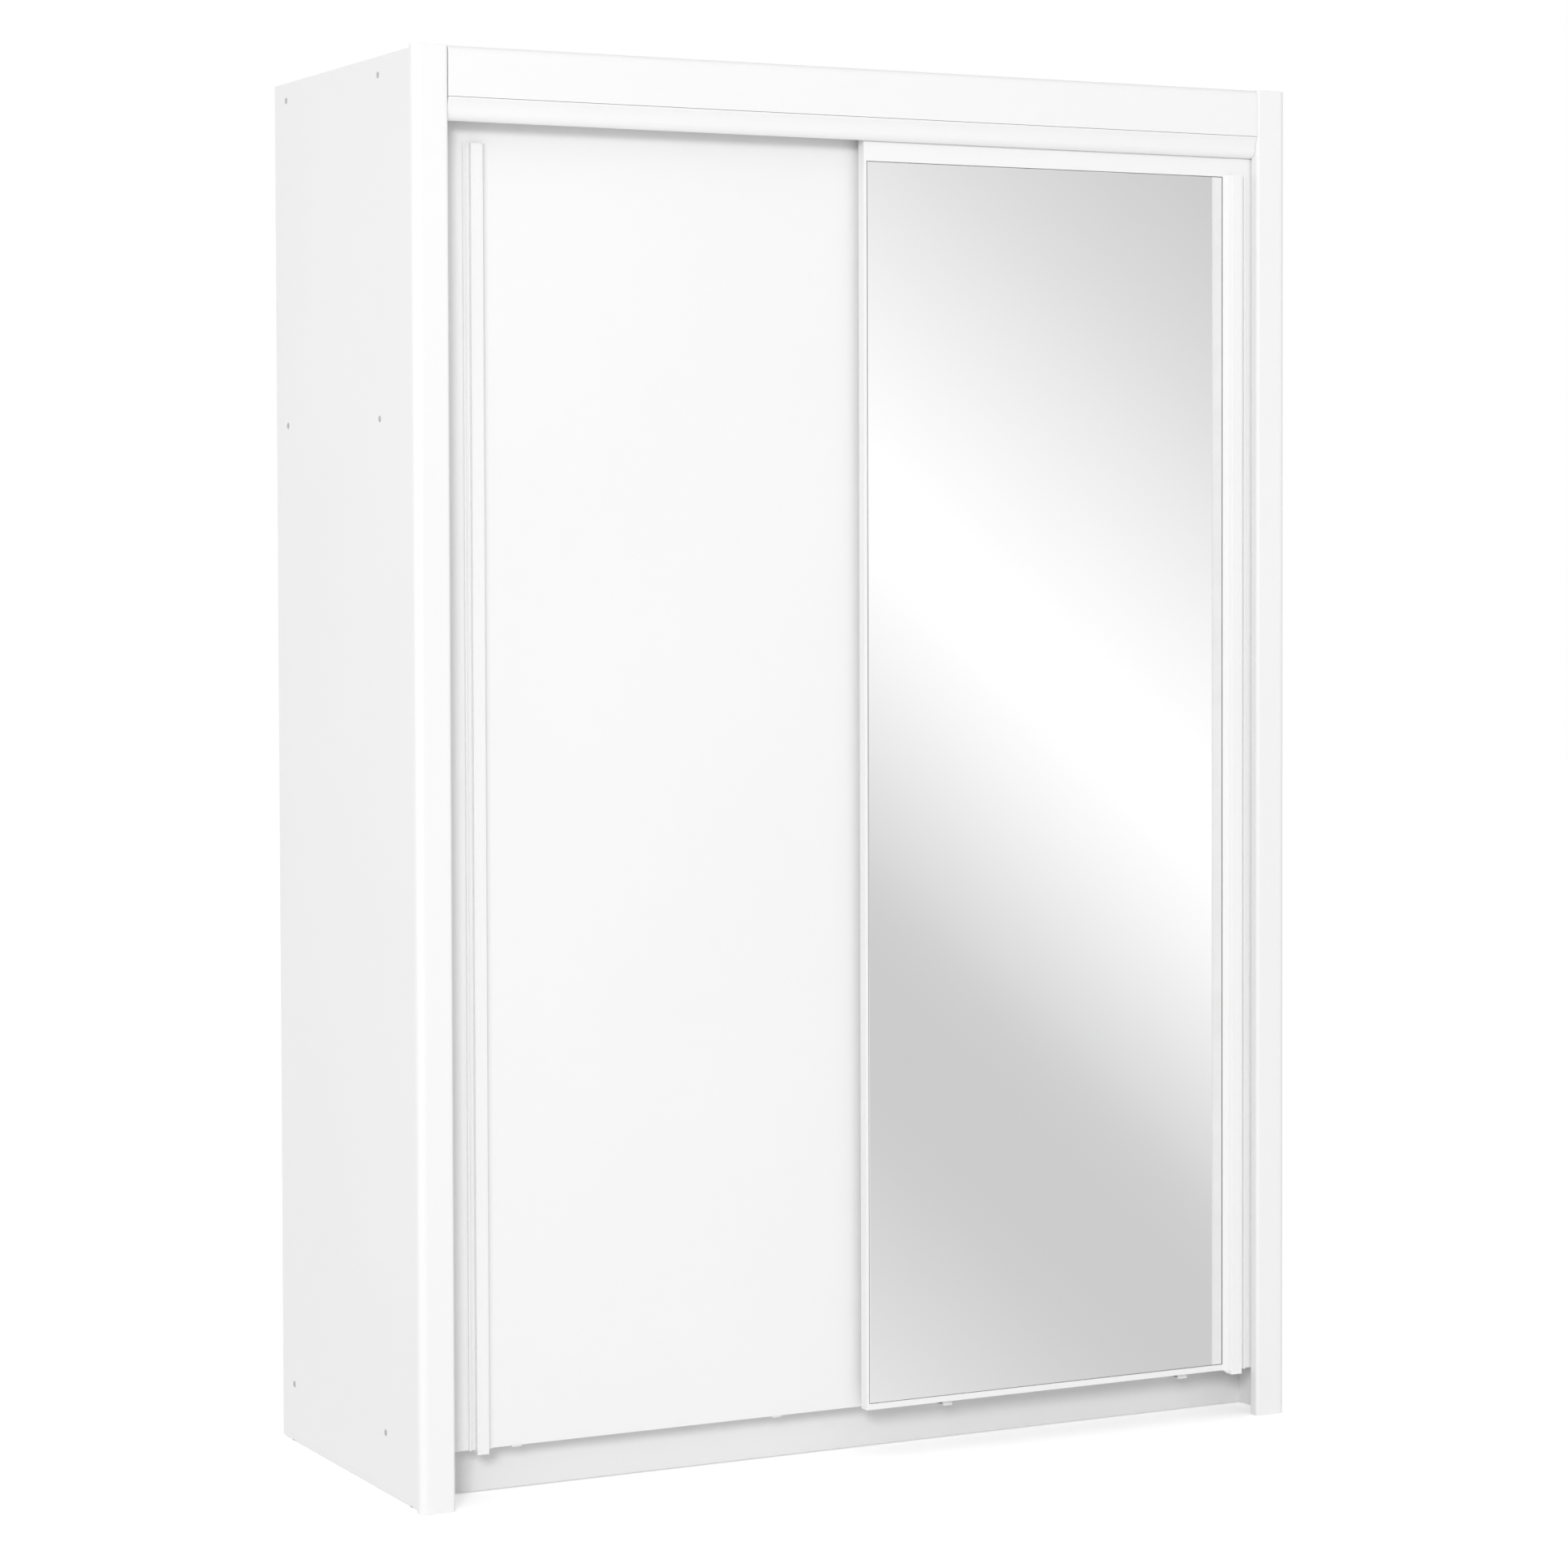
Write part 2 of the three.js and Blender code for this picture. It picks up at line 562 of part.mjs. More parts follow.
function runningGear(door, x0, lane) {
  const { pad, stripZ, channel } = GUIDES[door];
  const stations = (inset) => [
    ["left", x0 + inset],
    ["right", x0 + DOOR_WIDTH - inset],
  ];
  for (const [label, x] of stations(HANGER_INSET)) {
    add(`${door}_door_hanger_${label}`, hangerGeometry(lane, x), FINISH.steel);
    add(`${door}_door_wheel_${label}`, wheelGeometry(), FINISH.nylon, [x, lane + FRONT_BOARD / 2, WHEEL_Z]);
  }
  for (const [label, x] of stations(GUIDE_INSET)) {
    const geometry = guideGeometry(lane + pad[0], lane + pad[1], stripZ, channel, x);
    add(`${door}_door_guide_${label}`, geometry, FINISH.guide);
  }
}

function plainDoor() {
  const x0 = -DOOR_REACH;
  board(
    "plain_door_panel",
    [x0, x0 + DOOR_WIDTH],
    [REAR_LANE, REAR_LANE + FRONT_BOARD],
    [DOOR_BOTTOM, DOOR_TOP],
    FINISH.lacquer,
  );
  handle("plain_door_handle", (u) => x0 + PLAIN_HANDLE_INSET + u, REAR_LANE);
  runningGear("plain", x0, REAR_LANE);
}

function mirrorDoor() {
  const x0 = DOOR_REACH - DOOR_WIDTH;
  const span = [x0 + MIRROR_LEFT_MARGIN, x0 + MIRROR_LEFT_MARGIN + MIRROR_WIDTH];
  const rise = [DOOR_BOTTOM + MIRROR_BOTTOM_MARGIN, DOOR_TOP - MIRROR_TOP_MARGIN];
  mirrorDoorPanel(x0, span, rise);
  board("mirror_pane", span, [FRONT_LANE, FRONT_LANE + MIRROR_THICK], rise, FINISH.mirror);
  handle("mirror_door_handle", (u) => DOOR_REACH - MIRROR_HANDLE_INSET - u, FRONT_LANE);
  runningGear("mirror", x0, FRONT_LANE);
}
plainDoor();
mirrorDoor();

// ---- fittings on the sides ----------------------------------------------------------------------
function disc(radius, [a, b]) {
  const shape = new THREE.Shape();
  shape.absarc(a, b, radius, 0, 2 * Math.PI, false);
  return shape;
}

// Round caps cover the screws that hold the top, the fixed shelves and the bottom.
const CAP_RADIUS = 5;
const CAP_HEIGHT = 0.75;
const CAP_COLUMNS = [
  ["front", FRONT + 156],
  ["rear", FRONT + 548],
];
const CAP_ROWS = [
  ["top", TOP_PANEL_Z + BOARD / 2],
  ["shelf", FIXED_SHELF_Z + BOARD / 2],
  ["bottom", BOTTOM_PANEL_Z + BOARD / 2],
];
for (const [side, sign] of SIDES) {
  for (const [row, z] of CAP_ROWS) {
    for (const [column, y] of CAP_COLUMNS) {
      const x = sign > 0 ? SIDE_OUT : -SIDE_OUT - CAP_HEIGHT;
      const cap = across(disc(CAP_RADIUS, [y, z]), x, x + CAP_HEIGHT, 6);
      add(`screw_cap_${side}_${row}_${column}`, cap, FINISH.cap);
    }
  }
}

// Nail-on glides lift the side panels off the floor.
const GLIDE_RADIUS = 7;
const GLIDE_PLACES = [
  ["front", FRONT + 60],
  ["rear", REAR - 40],
];
for (const [side, sign] of SIDES) {
  for (const [label, y] of GLIDE_PLACES) {
    const shape = disc(GLIDE_RADIUS, [sign * (SIDE_OUT - BOARD / 2), y]);
    add(`glide_${side}_${label}`, upright(shape, 0, GLIDE_HEIGHT, 6), FINISH.glide);
  }
}

export default wardrobe;
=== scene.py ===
# %% [markdown]
# # A wardrobe with two sliding doors
# The wardrobe comes from the CAD step as a imported model: one closed solid for each board, profile
# and fitting, with the joints that let the doors slide. This lesson puts the visible surfaces on
# that frame. Everything is in metres, +Z is up, and the doors face -Y. The first thing to do is to
# load the frame; each piece below is drawn within the box of the part it stands for. The finished
# model has to fit into the same box.

# %% Load the imported wardrobe
import math
import bmesh
import bpy
from mathutils import Matrix, Vector


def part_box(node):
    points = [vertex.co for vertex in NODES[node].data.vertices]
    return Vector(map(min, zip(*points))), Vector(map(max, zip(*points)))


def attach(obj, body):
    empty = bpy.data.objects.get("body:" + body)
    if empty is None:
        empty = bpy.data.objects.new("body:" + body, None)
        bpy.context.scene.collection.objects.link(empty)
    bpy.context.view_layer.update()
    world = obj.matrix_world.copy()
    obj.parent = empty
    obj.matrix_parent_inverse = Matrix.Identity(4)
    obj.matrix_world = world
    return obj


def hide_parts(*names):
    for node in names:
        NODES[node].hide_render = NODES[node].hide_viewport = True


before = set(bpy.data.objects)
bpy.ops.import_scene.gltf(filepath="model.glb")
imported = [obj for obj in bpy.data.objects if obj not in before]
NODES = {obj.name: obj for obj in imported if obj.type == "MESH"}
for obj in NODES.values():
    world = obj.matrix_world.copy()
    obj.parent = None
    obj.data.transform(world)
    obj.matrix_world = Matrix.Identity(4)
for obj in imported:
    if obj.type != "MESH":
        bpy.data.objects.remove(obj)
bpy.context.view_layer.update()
MM = 0.001

# %% [markdown]
# ## The camera
# Furniture is usually pictured with a long lens from standing height, so that the uprights stay
# nearly parallel. The camera stands to the left of the wardrobe and looks past its left side to
# the doors. Its three axes are worked out from the heading, the tilt and a slight roll, because a
# matrix built from them says plainly where it looks. A small downward shift keeps the wardrobe in
# the middle of the picture while the camera stays almost level.

# %% Place the camera
def camera_matrix(place, heading, tilt, roll):
    """The matrix of a camera at place; heading turns it to the right, tilt up, all in degrees."""
    h, t, r = (math.radians(angle) for angle in (heading, tilt, roll))
    ahead = Vector((math.sin(h) * math.cos(t), math.cos(h) * math.cos(t), math.sin(t)))
    across = Vector((math.cos(h), -math.sin(h), 0.0))
    above = across.cross(ahead)
    right = across * math.cos(r) + above * math.sin(r)
    up = above * math.cos(r) - across * math.sin(r)
    turned = Matrix((right, up, -ahead)).transposed()
    return Matrix.Translation(place) @ turned.to_4x4()


lens = bpy.data.cameras.new("studio_camera")
lens.lens = 93.2
lens.sensor_width = 36.0
lens.shift_y = -0.08
lens.clip_end = 60.0
camera = bpy.data.objects.new("studio_camera", lens)
bpy.context.scene.collection.objects.link(camera)
camera.matrix_world = camera_matrix((-2.930, -5.759, 1.417), 26.94, -1.69, -0.17)
bpy.context.scene.camera = camera
print("camera is", round(camera.location.length, 2), "m from the wardrobe's foot")

# %% [markdown]
# ## The studio
# White furniture on a white floor needs soft light from all around, or its pale edges drown in
# hard shadows. The world gives most of the light. What a mirror sees is another matter: in a real
# studio it catches the large grey cards that stand around the set. A second background is shown to
# glossy rays only, with soft slanted bands from grey to white, so the mirror gets a slow gradient
# and the room light stays even.

# %% Build the world light
WORLD_STRENGTH = 0.685
BAND_WIDTH = 0.3046  # one dark and one bright band together, as a share of the direction vector
BAND_START = 0.151
BAND_TONES = (
    (0.00, 0.662),
    (0.14, 0.77),
    (0.27, 0.905),
    (0.41, 1.04),
    (0.50, 1.10),
    (0.58, 1.03),
    (0.66, 0.92),
    (0.75, 0.78),
    (0.83, 0.668),
    (0.91, 0.645),
    (1.00, 0.662),
)

world = bpy.data.worlds.new("studio_world")
bpy.context.scene.world = world
world.use_nodes = True
tree = world.node_tree
tree.nodes.clear()


def world_node(kind, **settings):
    made = tree.nodes.new(kind)
    for key, value in settings.items():
        setattr(made, key, value)
    return made


coordinates = world_node("ShaderNodeTexCoord")
slope = world_node("ShaderNodeVectorMath", operation="DOT_PRODUCT")
slope.inputs[1].default_value = (-0.816, -0.446, -1.0)
tree.links.new(coordinates.outputs["Generated"], slope.inputs[0])
shifted = world_node("ShaderNodeMath", operation="ADD")
shifted.inputs[1].default_value = BAND_START
tree.links.new(slope.outputs["Value"], shifted.inputs[0])
scaled = world_node("ShaderNodeMath", operation="DIVIDE")
scaled.inputs[1].default_value = BAND_WIDTH
tree.links.new(shifted.outputs[0], scaled.inputs[0])
repeated = world_node("ShaderNodeMath", operation="FRACT")
tree.links.new(scaled.outputs[0], repeated.inputs[0])
bands = world_node("ShaderNodeFloatCurve")
curve = bands.mapping.curves[0]
while len(curve.points) < len(BAND_TONES):
    curve.points.new(0.5, 0.5)
for point, (where, tone) in zip(curve.points, BAND_TONES):
    point.location = (where, tone / 1.2)
bands.mapping.update()
tree.links.new(repeated.outputs[0], bands.inputs["Value"])
cards = world_node("ShaderNodeBackground")
cards.inputs["Strength"].default_value = 1.2
tree.links.new(bands.outputs[0], cards.inputs["Color"])
room = world_node("ShaderNodeBackground")
room.inputs["Color"].default_value = (1.0, 1.0, 1.0, 1.0)
room.inputs["Strength"].default_value = WORLD_STRENGTH
backdrop = world_node("ShaderNodeBackground")
backdrop.inputs["Color"].default_value = (1.0, 1.0, 1.0, 1.0)
path = world_node("ShaderNodeLightPath")
seen = world_node("ShaderNodeMixShader")
tree.links.new(path.outputs["Is Camera Ray"], seen.inputs["Fac"])
tree.links.new(room.outputs[0], seen.inputs[1])
tree.links.new(backdrop.outputs[0], seen.inputs[2])
chosen = world_node("ShaderNodeMixShader")
tree.links.new(path.outputs["Is Glossy Ray"], chosen.inputs["Fac"])
tree.links.new(seen.outputs[0], chosen.inputs[1])
tree.links.new(cards.outputs[0], chosen.inputs[2])
output = world_node("ShaderNodeOutputWorld")
tree.links.new(chosen.outputs[0], output.inputs["Surface"])
bpy.context.scene.view_settings.view_transform = "Standard"
print("world light", WORLD_STRENGTH, "with", len(BAND_TONES), "tones in the reflected bands")

# %% [markdown]
# One large soft light stands far away to the front left, a little above the wardrobe. A distant
# light reaches both doors evenly, and its size sets how soft the shadows are that the header and
# the left pilaster throw on the recessed door. A weak second light keeps the left side from going
# grey. The floor is a plain pale plane. It isn't part of the object, and glossy rays don't see it,
# which keeps its edge out of the mirror.

# %% Add the lights and the floor
def soft_light(name, place, aim, size, power):
    """A square area light; places and size in metres, power in watts."""
    lamp = bpy.data.lights.new(name, "AREA")
    lamp.shape = "SQUARE"
    lamp.size = size
    lamp.energy = power
    holder = bpy.data.objects.new(name, lamp)
    bpy.context.scene.collection.objects.link(holder)
    holder.location = place
    holder.rotation_euler = (Vector(aim) - Vector(place)).to_track_quat("-Z", "Y").to_euler()
    holder.visible_glossy = False
    holder.visible_camera = False


soft_light("key_light", (-7.3, -11.0, 5.2), (-0.1, 0.0, 1.3), 2.7, 700.0)
soft_light("side_light", (-3.4, 0.6, 1.7), (-0.75, 0.1, 1.3), 1.6, 5.2)

FLOOR_REACH = 15.0  # metres from the middle to each side
floor_shape = bmesh.new()
bmesh.ops.create_grid(floor_shape, x_segments=8, y_segments=8, size=FLOOR_REACH)
floor_mesh = bpy.data.meshes.new("studio_floor")
floor_shape.to_mesh(floor_mesh)
floor_shape.free()
floor = bpy.data.objects.new("studio_floor", floor_mesh)
bpy.context.scene.collection.objects.link(floor)
floor.visible_glossy = False
print("floor is", floor.dimensions.x, "m across")

# %% [markdown]
# ## Finishes
# Each finish is a small node tree on the Principled shader. They share three ingredients: a slow
# mottling that shifts the colour a little, a fine grain that changes the roughness, and a bump
# from the same grain, so that the light breaks up at the right scale. Object coordinates drive
# all of them, in metres, because the grain then keeps its true size on a large board and on a
# small cap. Values that are the same all over are set on the shader's own sockets.

# %% Write the finish helper
class Finish:
    """A material with a Principled shader and short ways to add and join nodes."""

    def __init__(self, name, **sockets):
        self.material = bpy.data.materials.new(name)
        self.material.use_nodes = True
        self.tree = self.material.node_tree
        self.shader = self.tree.nodes["Principled BSDF"]
        for socket, value in sockets.items():
            self.shader.inputs[socket.replace("_", " ")].default_value = value
        self.place = self.add("ShaderNodeTexCoord").outputs["Object"]

    def add(self, kind, settings=None, **sockets):
        made = self.tree.nodes.new(kind)
        for key, value in (settings or {}).items():
            setattr(made, key, value)
        for socket, value in sockets.items():
            made.inputs[socket.replace("_", " ")].default_value = value
        return made

    def join(self, source, target):
        self.tree.links.new(source, target)

    def stretched(self, scale):
        mapping = self.add("ShaderNodeMapping", Scale=scale)
        self.join(self.place, mapping.inputs["Vector"])
        return mapping.outputs["Vector"]

    def noise(self, scale, detail=2.0, where=None, roughness=0.5):
        made = self.add("ShaderNodeTexNoise", Scale=scale, Detail=detail, Roughness=roughness)
        self.join(where or self.place, made.inputs["Vector"])
        return made.outputs["Fac"]

    def cells(self, scale, where=None):
        made = self.add("ShaderNodeTexVoronoi", Scale=scale)
        self.join(where or self.place, made.inputs["Vector"])
        return made.outputs["Distance"]

    def spread(self, value, low, high, span=(0.3, 0.7)):
        made = self.add("ShaderNodeMapRange", From_Min=span[0], From_Max=span[1], To_Min=low, To_Max=high)
        self.join(value, made.inputs["Value"])
        return made.outputs["Result"]

    def tint(self, value, dark, light, span=(0.3, 0.7)):
        ramp = self.add("ShaderNodeValToRGB")
        ramp.color_ramp.elements[0].position = span[0]
        ramp.color_ramp.elements[0].color = (*dark, 1.0)
        ramp.color_ramp.elements[1].position = span[1]
        ramp.color_ramp.elements[1].color = (*light, 1.0)
        self.join(value, ramp.inputs["Fac"])
        return ramp.outputs["Color"]

    def colour(self, value):
        self.join(value, self.shader.inputs["Base Color"])

    def rough(self, value, low, high, span=(0.3, 0.7)):
        self.join(self.spread(value, low, high, span), self.shader.inputs["Roughness"])

    def bump(self, value, depth, strength=1.0):
        made = self.add("ShaderNodeBump", Distance=depth, Strength=strength)
        self.join(value, made.inputs["Height"])
        self.join(made.outputs["Normal"], self.shader.inputs["Normal"])


FINISHES = {}

# %% [markdown]
# The carcass boards are faced with white melamine. Its paper is pressed against a plate with a
# fine pearl texture, which cells about a millimetre across imitate. The doors, pilasters and
# header are smoother: a satin lacquer with a very shallow orange peel.

# %% Melamine and lacquer
melamine = Finish("white_melamine", Specular_IOR_Level=0.45)
melamine.colour(melamine.tint(melamine.noise(2.2, 3.0), (0.850, 0.850, 0.849), (0.868, 0.868, 0.867)))
pearl = melamine.cells(820.0)
melamine.rough(pearl, 0.44, 0.56, (0.0, 0.9))
melamine.bump(pearl, 0.00004, 0.5)
FINISHES["melamine_board"] = melamine.material

lacquer = Finish("satin_lacquer", Specular_IOR_Level=0.5)
lacquer.colour(lacquer.tint(lacquer.noise(1.6, 2.0), (0.866, 0.864, 0.867), (0.880, 0.878, 0.881)))
peel = lacquer.noise(420.0, 1.0)
lacquer.rough(lacquer.noise(35.0, 3.0), 0.30, 0.36)
lacquer.bump(peel, 0.00003, 0.35)
FINISHES["front_lacquer"] = lacquer.material

profile_coat = Finish("coated_profile", Specular_IOR_Level=0.5)
brushed = profile_coat.noise(900.0, 2.0, profile_coat.stretched((1.0, 1.0, 0.02)))
clouds = profile_coat.noise(4.0)
profile_coat.colour(profile_coat.tint(clouds, (0.868, 0.868, 0.868), (0.882, 0.882, 0.882)))
profile_coat.rough(brushed, 0.26, 0.34)
profile_coat.bump(brushed, 0.00001, 0.3)
FINISHES["handle_profile"] = profile_coat.material
print("board, front and handle finishes made")

# %% [markdown]
# The mirror is silvered glass. A metallic shader with hardly any roughness does the same as a
# clear pane over silver and renders cleanly. A slow change of tint and a trace of haze keep it from
# being a mathematically perfect reflector.

# %% Mirror glass
mirror = Finish("silvered_glass", Metallic=1.0)
mirror.colour(mirror.tint(mirror.noise(1.1), (0.926, 0.928, 0.927), (0.935, 0.937, 0.936)))
mirror.rough(mirror.noise(6.0, 3.0), 0.012, 0.022)
FINISHES["mirror_glass"] = mirror.material
print("mirror finish made")

# %% [markdown]
# The back is hardboard: lacquered white where it faces the clothes, raw brown fibre at the rear.
# The surface normal in the model's own space tells the two faces apart, and threads of stretched
# noise give the raw face its pressed fibres.

# %% Hardboard
hardboard = Finish("hardboard", Specular_IOR_Level=0.3)
fibres = hardboard.noise(260.0, 4.0, hardboard.stretched((1.0, 1.0, 0.35)), 0.7)
raw_face = hardboard.tint(fibres, (0.235, 0.145, 0.082), (0.400, 0.275, 0.175))
white_face = hardboard.tint(hardboard.noise(3.0), (0.790, 0.788, 0.780), (0.820, 0.818, 0.812))
facing = hardboard.add("ShaderNodeSeparateXYZ")
hardboard.join(hardboard.add("ShaderNodeTexCoord").outputs["Normal"], facing.inputs[0])
is_rear = hardboard.add("ShaderNodeMath", {"operation": "GREATER_THAN"})
is_rear.inputs[1].default_value = 0.5
hardboard.join(facing.outputs["Y"], is_rear.inputs[0])
two_faces = hardboard.add("ShaderNodeMix", {"data_type": "RGBA"})
hardboard.join(is_rear.outputs[0], two_faces.inputs["Factor"])
hardboard.join(white_face, two_faces.inputs[6])
hardboard.join(raw_face, two_faces.inputs[7])
hardboard.colour(two_faces.outputs[2])
hardboard.rough(fibres, 0.55, 0.8)
hardboard.bump(fibres, 0.00008, 0.4)
FINISHES["back_hardboard"] = hardboard.material
print("hardboard finish made")

# %% [markdown]
# The running gear is hidden while the doors are closed, yet it shows as soon as one slides away.
# Tracks are drawn aluminium with lines along their length, brackets are zinc-plated steel with
# small crystals, the hanging rail is chromed, and wheels, caps and glides are moulded plastic.

# %% Metals
aluminium = Finish("drawn_aluminium", Metallic=1.0)
drawn = aluminium.noise(1200.0, 3.0, aluminium.stretched((0.01, 1.0, 1.0)))
aluminium.colour(aluminium.tint(drawn, (0.600, 0.605, 0.610), (0.720, 0.722, 0.725)))
aluminium.rough(drawn, 0.28, 0.42)
aluminium.bump(drawn, 0.00001, 0.4)
FINISHES["track_aluminium"] = aluminium.material

zinc = Finish("zinc_steel", Metallic=1.0)
crystals = zinc.cells(240.0)
zinc.colour(zinc.tint(crystals, (0.500, 0.510, 0.525), (0.640, 0.648, 0.660), (0.1, 0.9)))
zinc.rough(crystals, 0.30, 0.46, (0.1, 0.9))
zinc.bump(zinc.noise(700.0), 0.00001, 0.4)
FINISHES["zinc_steel"] = zinc.material

chrome = Finish("chromed_steel", Metallic=1.0)
polish = chrome.noise(600.0, 2.0, chrome.stretched((0.02, 1.0, 1.0)))
chrome.colour(chrome.tint(polish, (0.780, 0.785, 0.790), (0.830, 0.833, 0.836)))
chrome.rough(polish, 0.07, 0.13)
chrome.bump(polish, 0.000005, 0.25)
FINISHES["rail_chrome"] = chrome.material

# %% Plastics and rubber
def moulded(name, dark, light, rough_low, rough_high, grain, depth):
    """A moulded plastic: cloudy colour, fine grain in the roughness and the bump."""
    made = Finish(name, Specular_IOR_Level=0.45)
    made.colour(made.tint(made.noise(18.0, 3.0), dark, light))
    grains = made.noise(grain, 3.0)
    made.rough(grains, rough_low, rough_high)
    made.bump(grains, depth, 0.5)
    return made.material


FINISHES["wheel_nylon"] = moulded(
    "nylon", (0.700, 0.682, 0.625), (0.760, 0.745, 0.690), 0.36, 0.48, 900.0, 0.00002
)
FINISHES["joint_plastic"] = moulded(
    "white_plastic", (0.780, 0.780, 0.775), (0.820, 0.820, 0.815), 0.36, 0.46, 800.0, 0.00002
)
FINISHES["cap_plastic"] = moulded(
    "grey_cap_plastic", (0.420, 0.422, 0.425), (0.500, 0.502, 0.505), 0.42, 0.55, 1500.0, 0.00002
)
FINISHES["glide_plastic"] = moulded(
    "grey_glide_plastic", (0.230, 0.232, 0.236), (0.290, 0.292, 0.296), 0.5, 0.65, 900.0, 0.00003
)
FINISHES["buffer_rubber"] = moulded(
    "black_rubber", (0.020, 0.020, 0.021), (0.034, 0.034, 0.035), 0.68, 0.85, 700.0, 0.00005
)
print(len(FINISHES), "finishes made")

# %% [markdown]
# A studio floor that looks pure white would need more light than the wardrobe can bear. So the
# floor glows a little by itself, and more of that glow is shown to the camera than is thrown on the
# wardrobe, which keeps the plinth and the hollow of the header in their own soft shade.

# %% Lay the pale floor finish
FLOOR_GLOW = 0.05  # what the wardrobe receives
FLOOR_GLOW_SEEN = 0.36  # what the camera sees
floor_finish = Finish("pale_floor", Specular_IOR_Level=0.1, Roughness=0.9)
floor_finish.shader.inputs["Emission Color"].default_value = (1.0, 1.0, 1.0, 1.0)
seen_directly = floor_finish.add("ShaderNodeLightPath").outputs["Is Camera Ray"]
lift = floor_finish.spread(seen_directly, FLOOR_GLOW, FLOOR_GLOW_SEEN, (0.0, 1.0))
floor_finish.join(lift, floor_finish.shader.inputs["Emission Strength"])
patches = floor_finish.noise(0.7)
floor_finish.colour(floor_finish.tint(patches, (0.925, 0.925, 0.925), (0.935, 0.935, 0.935)))
floor_finish.bump(floor_finish.noise(60.0), 0.0002, 0.1)
floor_mesh.materials.append(floor_finish.material)
print("floor finish laid")

# %% [markdown]
# ## Helpers for the pieces
# Boards and profiles are all the same kind of shape: an outline that runs straight from one end to
# the other. No real edge is perfectly sharp, so every crisp edge is eased by a fraction of a
# millimetre; that thin strip catches the light and makes an edge readable. Normals weighted by
# area keep the large faces flat and let only the eased strips look round.

# %% Write the shape helpers
def arc(centre, radius, start, stop, steps=8):
    """Points on an arc; start and stop in degrees, both ends included."""
    turns = (math.radians(start + (stop - start) * i / steps) for i in range(steps + 1))
    return [(centre[0] + radius * math.cos(t), centre[1] + radius * math.sin(t)) for t in turns]


def bend(start, pull, end, steps=8):
    """Points on a quadratic curve from start to end, pulled towards the middle point."""
    points = []
    for i in range(1, steps + 1):
        t = i / steps
        weights = ((1 - t) ** 2, 2 * t * (1 - t), t * t)
        points.append(tuple(sum(w * p[k] for w, p in zip(weights, (start, pull, end))) for k in (0, 1)))
    return points


def upright(a, b, t):
    """Outline in X and Y, length along Z; all in millimetres."""
    return Vector((a, b, t)) * MM


def lengthwise(a, b, t):
    """Outline in Y and Z, length along X."""
    return Vector((t, a, b)) * MM


def prism(outline, start, stop, place):
    """A closed solid with that outline, from start to stop."""
    shape = bmesh.new()
    near = [shape.verts.new(place(a, b, start)) for a, b in outline]
    far = [shape.verts.new(place(a, b, stop)) for a, b in outline]
    shape.faces.new(near)
    shape.faces.new(list(reversed(far)))
    for i in range(len(outline)):
        j = (i + 1) % len(outline)
        shape.faces.new((near[j], near[i], far[i], far[j]))
    bmesh.ops.recalc_face_normals(shape, faces=shape.faces)
    return shape


def circle(shape, radius, height, steps, place):
    """One ring of corners of a turned shape, or its single corner on the axis."""
    if radius == 0.0:
        return [shape.verts.new(place(0.0, 0.0, height))]
    angles = (2 * math.pi * i / steps for i in range(steps))
    return [shape.verts.new(place(radius * math.cos(t), radius * math.sin(t), height)) for t in angles]


def turned(profile, steps, place):
    """A solid turned from a profile of (radius, height) that starts and ends on the axis."""
    shape = bmesh.new()
    rings = [circle(shape, radius, height, steps, place) for radius, height in profile]
    for low, high in zip(rings, rings[1:]):
        for i in range(steps):
            j = (i + 1) % steps
            corners = [low[i % len(low)], low[j % len(low)], high[j % len(high)], high[i % len(high)]]
            shape.faces.new(list(dict.fromkeys(corners)))
    bmesh.ops.recalc_face_normals(shape, faces=shape.faces)
    return shape


def ease(shape, width, segments=3, sharper_than=50.0):
    """Rounds every edge that turns more than that many degrees; width in millimetres."""
    limit = math.radians(sharper_than)
    crisp = [e for e in shape.edges if len(e.link_faces) == 2 and e.calc_face_angle() > limit]
    bmesh.ops.bevel(shape, geom=crisp, offset=width * MM, segments=segments, profile=0.5, affect="EDGES")
    return shape


# %% Write the helper that turns a shape into a piece
def piece(name, shapes, body, slot, *stands_for):
    """One visible piece from one or more shapes: it rides on its body and takes its slot's finish."""
    mesh = bpy.data.meshes.new(name)
    whole = bmesh.new()
    for shape in shapes if isinstance(shapes, (list, tuple)) else [shapes]:
        shape.to_mesh(mesh)
        whole.from_mesh(mesh)
        shape.free()
    whole.to_mesh(mesh)
    whole.free()
    mesh.materials.append(FINISHES[slot])
    mesh.shade_smooth()
    mesh.set_sharp_from_angle(angle=math.radians(42))
    made = bpy.data.objects.new(name, mesh)
    bpy.context.scene.collection.objects.link(made)
    weighted = made.modifiers.new("flat_faces", "WEIGHTED_NORMAL")
    weighted.keep_sharp = True
    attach(made, body)
    if stands_for:
        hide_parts(*stands_for)
    return made


def limits(node):
    """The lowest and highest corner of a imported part, in millimetres."""
    low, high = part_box(node)
    return low / MM, high / MM


print("door panel reaches from", [round(v) for v in limits("plain_door_panel")[0]])

# %% [markdown]
# ## Sides, pilasters and header
# Each side panel is a board with a rebate along its inner rear edge, where the back is let in. The
# pilaster in front of it hides its front edge and turns the corner with a generous round. The
# header between the pilasters is made of two strips: a plain fascia, and below a fine joint a
# hollow moulding that falls back to a soft lip. Arcs are drawn with enough points to look round.

